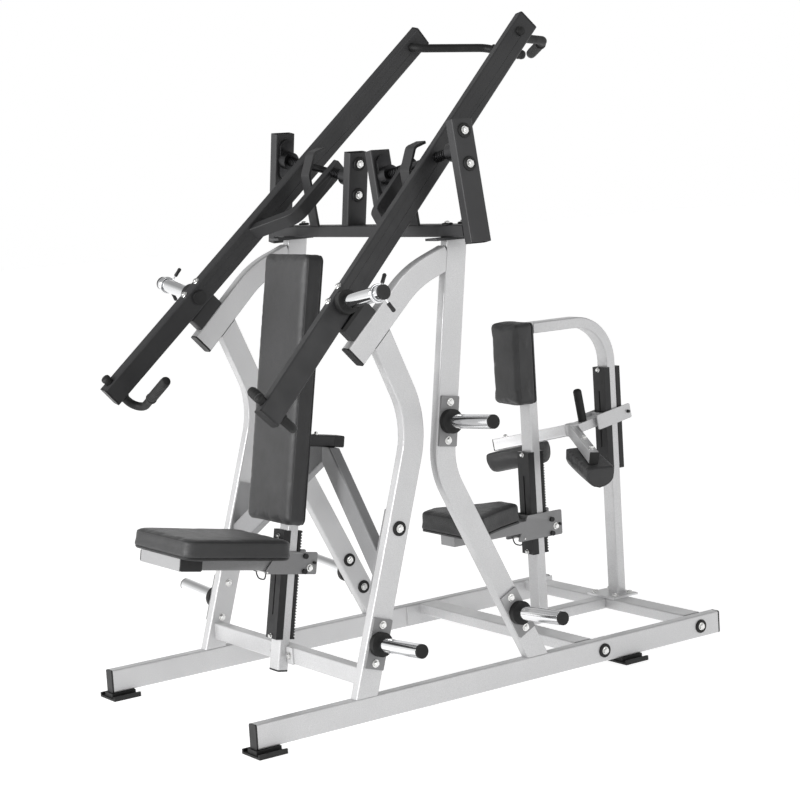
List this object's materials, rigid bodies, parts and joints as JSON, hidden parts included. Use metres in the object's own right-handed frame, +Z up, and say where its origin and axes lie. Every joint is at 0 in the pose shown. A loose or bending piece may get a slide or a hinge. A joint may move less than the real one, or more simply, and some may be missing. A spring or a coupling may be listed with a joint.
{
  "type": "shoulder press machine",
  "caption": "Plate-loaded gym machine with two long pivoting arms: a converging press seat at the front and a lat pulldown seat with thigh pads at the back.",
  "frame": {"origin": "centre of the footprint, on the floor", "axes": "+Z up, the press seat faces -Y and the pulldown station is towards +Y, +X to the right-hand side of a person looking along +Y"},
  "size_m": [1.499, 2.0344, 2.2733],
  "materials": {
    "frame_silver": "fine metallic powder coat, satin",
    "arm_charcoal": "matte fine-texture powder coat",
    "strut_grey": "satin powder coat",
    "lever_silver": "satin metallic powder coat",
    "plate_grey": "satin powder coat",
    "chrome": "polished chrome plating",
    "shaft_steel": "blackened turned steel",
    "zinc_steel": "zinc plated",
    "pad_vinyl": "fine-grained vinyl over foam",
    "black_rubber": "matte",
    "black_plastic": "fine moulded texture"
  },
  "bodies": {
    "frame": {"arm_brackets": "arm_charcoal", "arm_rest_blocks": "arm_charcoal", "arm_rest_pads": "black_rubber", "back_pad": "pad_vinyl", "back_pad_bracket": "arm_charcoal", "back_pad_struts": "strut_grey", "centre_spine": "frame_silver", "chest_pad": "pad_vinyl", "flange_bearings": "shaft_steel", "floor_feet": "black_rubber", "frame_bolts": "zinc_steel", "front_cross_member": "frame_silver", "front_seat_post": "frame_silver", "front_seat_rack": "black_plastic", "front_upright_left": "frame_silver", "front_upright_right": "frame_silver", "mid_cross_member": "frame_silver", "peg_plates": "plate_grey", "peg_rubbers": "black_rubber", "peg_tubes": "chrome", "rear_cross_member": "frame_silver", "rear_seat_post": "frame_silver", "rear_seat_rack": "black_plastic", "rear_upright_left": "frame_silver", "rear_upright_right": "frame_silver", "side_rail_left": "frame_silver", "side_rail_right": "frame_silver", "thigh_pad_post": "frame_silver", "thigh_pad_rack": "black_plastic", "top_crossbeam": "arm_charcoal", "top_tube_left": "frame_silver", "top_tube_right": "frame_silver", "tube_end_caps": "black_plastic"},
    "left_arm": {"arm_tube_left": "arm_charcoal", "arm_caps_left": "black_plastic", "arm_shaft_left": "shaft_steel", "arm_brace_left": "arm_charcoal", "weight_horn_left": "chrome", "press_handle_left": "black_rubber", "pulldown_handle_left": "black_rubber"},
    "left_clip": {"spring_clip_left": "chrome"},
    "right_arm": {"arm_tube_right": "arm_charcoal", "arm_caps_right": "black_plastic", "arm_shaft_right": "shaft_steel", "arm_brace_right": "arm_charcoal", "weight_horn_right": "chrome", "press_handle_right": "black_rubber", "pulldown_handle_right": "black_rubber"},
    "right_clip": {"spring_clip_right": "chrome"},
    "press_seat": {"front_seat_carriage": "plate_grey", "front_seat_glides": "black_plastic", "front_seat_cushion": "pad_vinyl"},
    "press_seat_lever": {"front_seat_release": "zinc_steel"},
    "pulldown_seat": {"rear_seat_carriage": "plate_grey", "rear_seat_glides": "black_plastic", "rear_seat_cushion": "pad_vinyl"},
    "pulldown_seat_lever": {"rear_seat_release": "zinc_steel"},
    "thigh_pad_slide": {"thigh_pad_carriage": "lever_silver", "thigh_pads": "pad_vinyl", "thigh_pad_rubbers": "black_rubber"}
  },
  "joints": [
    {"name": "left_arm_pivot", "type": "hinge", "parent": "frame", "child": "left_arm", "pos_m": [-0.38544, -0.09341, 1.79622], "axis": [-0.9848, 0, 0.1736], "range_deg": [0, 60]},
    {"name": "left_clip_slide", "type": "slide", "parent": "left_arm", "child": "left_clip", "axis": [-0.9848, 0, 0.1736], "range_m": [-0.13, 0.1]},
    {"name": "right_arm_pivot", "type": "hinge", "parent": "frame", "child": "right_arm", "pos_m": [0.38544, -0.09341, 1.79622], "axis": [-0.9848, 0, -0.1736], "range_deg": [0, 60]},
    {"name": "right_clip_slide", "type": "slide", "parent": "right_arm", "child": "right_clip", "axis": [0.9848, 0, 0.1736], "range_m": [-0.13, 0.1]},
    {"name": "press_seat_height", "type": "slide", "parent": "frame", "child": "press_seat", "axis": [0, 0.1685, 0.9857], "range_m": [-0.15, 0.03]},
    {"name": "pulldown_seat_height", "type": "slide", "parent": "frame", "child": "pulldown_seat", "axis": [0, 0, 1], "range_m": [-0.045, 0.2]},
    {"name": "thigh_pad_height", "type": "slide", "parent": "frame", "child": "thigh_pad_slide", "axis": [0, 0, 1], "range_m": [-0.1, 0.12]},
    {"name": "press_seat_release", "type": "hinge", "parent": "press_seat", "child": "press_seat_lever", "pos_m": [0, -0.62893, 0.45792], "axis": [-1, 0, 0], "range_deg": [0, 15], "stiffness_Nm_per_rad": 0.2, "springref_deg": -11.46},
    {"name": "pulldown_seat_release", "type": "hinge", "parent": "pulldown_seat", "child": "pulldown_seat_lever", "pos_m": [0, 0.47159, 0.394], "axis": [-1, 0, 0], "range_deg": [0, 15], "stiffness_Nm_per_rad": 0.2, "springref_deg": -11.46}
  ]
}
